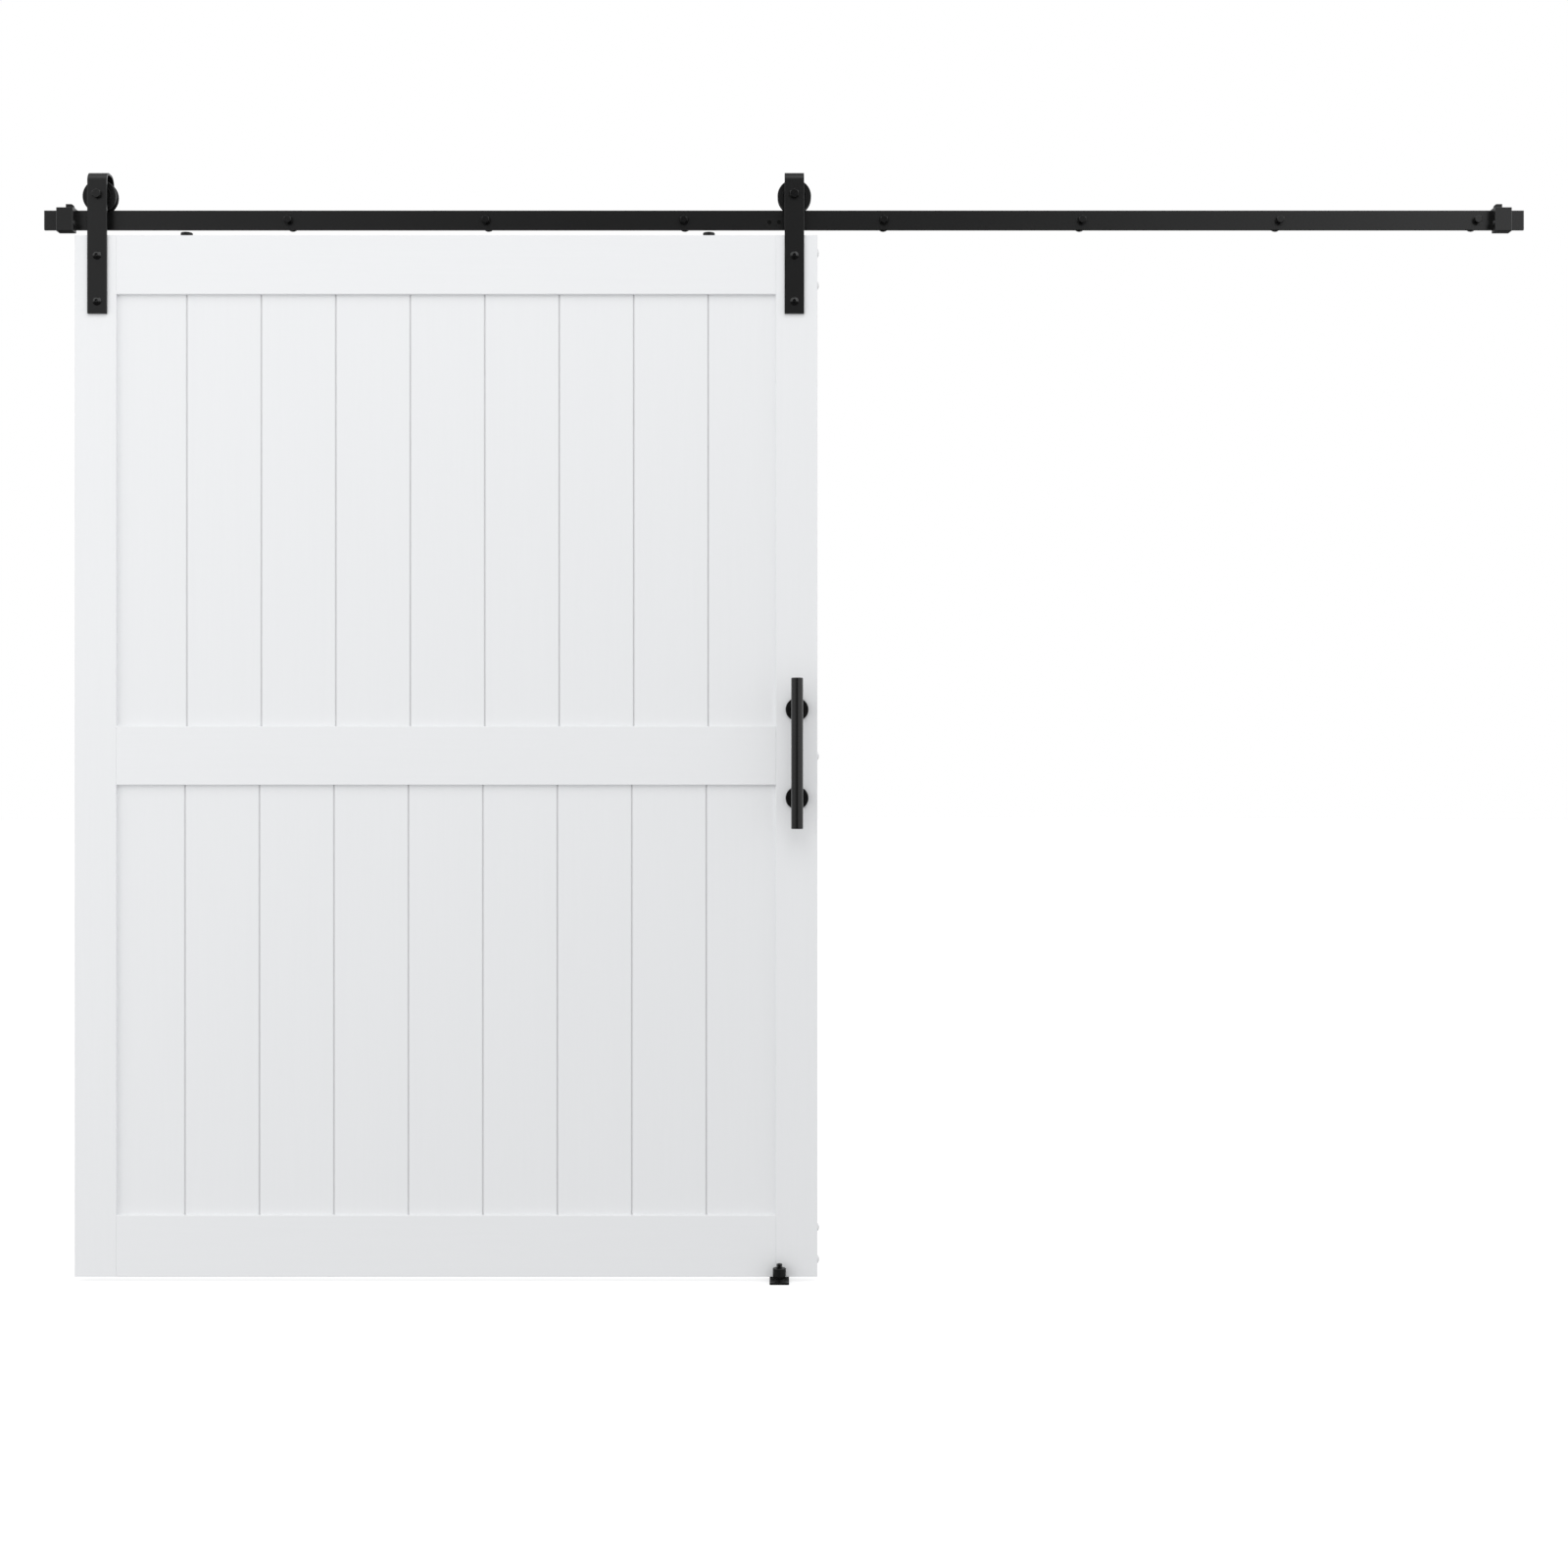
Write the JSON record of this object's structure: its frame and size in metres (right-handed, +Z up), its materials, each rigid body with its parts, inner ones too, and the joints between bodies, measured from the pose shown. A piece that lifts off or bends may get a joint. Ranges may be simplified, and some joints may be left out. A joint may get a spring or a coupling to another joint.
{
  "type": "sliding barn door",
  "caption": "Framed white plank door that slides on a black flat wall rail: strap hangers with grooved wheels, end stops, anti-jump discs, a round pull bar and a floor guide.",
  "frame": {"origin": "on the line of the rail's wall bolts, at the rail's middle joint, in the plane of the wall", "axes": "+X along the rail to the right as seen from the room, +Y into the wall, +Z up"},
  "size_m": [3.048, 0.1531, 2.3134],
  "materials": {
    "black_steel": "matte black powder coat",
    "handle_black": "satin black powder coat",
    "black_fastener": "matte black",
    "black_nylon": "matte black nylon",
    "black_rubber": "matte black rubber",
    "bearing_steel": "ground steel",
    "white_frame": "white primed and painted",
    "white_boards": "white primed and painted",
    "white_cap": "white moulded plastic",
    "zinc_steel": "zinc plated",
    "bare_wood": "unfinished beech",
    "bronze": "sintered bronze"
  },
  "bodies": {
    "track": {"rail_left": "black_steel", "rail_right": "black_steel", "joint_plate": "black_steel", "joint_screws": "black_fastener", "rail_spacers": "black_steel", "lag_washers": "black_fastener", "lag_bolts": "black_fastener", "stop_left": "black_steel", "stop_right": "black_steel", "bumper_left": "black_rubber", "bumper_right": "black_rubber", "stop_set_screws": "black_fastener", "guide_bracket": "black_steel", "guide_screws": "black_fastener", "guide_stud": "black_fastener", "guide_collar": "black_fastener", "guide_nut": "black_fastener"},
    "door": {"strap_left": "black_steel", "strap_right": "black_steel", "axle_bolts": "black_fastener", "axle_washers": "black_fastener", "axle_nuts": "black_fastener", "axle_bushings": "black_fastener", "inner_races": "bearing_steel", "strap_bolts": "black_fastener", "strap_washers": "black_fastener", "strap_nuts": "black_fastener", "stile_left": "white_frame", "stile_right": "white_frame", "top_rail": "white_frame", "mid_rail": "white_frame", "bottom_rail": "white_frame", "upper_planks": "white_boards", "lower_planks": "white_boards", "assembly_screws": "zinc_steel", "frame_dowels": "bare_wood", "edge_caps": "white_cap", "antijump_discs": "black_nylon", "antijump_screws": "black_fastener", "handle_bar": "handle_black", "handle_posts": "handle_black", "handle_rosettes": "handle_black", "handle_washers": "black_fastener", "handle_bolts": "black_fastener"},
    "hanger_wheel_left": {"wheel_left": "black_nylon", "outer_race_left": "bearing_steel", "bearing_balls_left": "bearing_steel", "bearing_seals_left": "black_rubber"},
    "hanger_wheel_right": {"wheel_right": "black_nylon", "outer_race_right": "bearing_steel", "bearing_balls_right": "bearing_steel", "bearing_seals_right": "black_rubber"},
    "guide_wheel": {"guide_roller": "black_nylon", "guide_bush": "bronze"}
  },
  "joints": [
    {"name": "door_slide", "type": "slide", "parent": "track", "child": "door", "axis": [1, 0, 0], "range_m": [-0.0255, 1.4125]},
    {"name": "wheel_left_spin", "type": "hinge", "parent": "door", "child": "hanger_wheel_left", "pos_m": [-1.4082, -0.041, 0.048], "axis": [0, 1, 0], "continuous": true},
    {"name": "wheel_right_spin", "type": "hinge", "parent": "door", "child": "hanger_wheel_right", "pos_m": [0.0212, -0.041, 0.048], "axis": [0, 1, 0], "continuous": true},
    {"name": "guide_roller_spin", "type": "hinge", "parent": "track", "child": "guide_wheel", "pos_m": [-0.0095, -0.0775, -2.162], "axis": [0, 0, 1], "continuous": true}
  ],
  "couplings": [
    {"joint": "wheel_left_spin", "follows": "door_slide", "rad_per_m": 35.971},
    {"joint": "wheel_right_spin", "follows": "door_slide", "rad_per_m": 35.971}
  ]
}
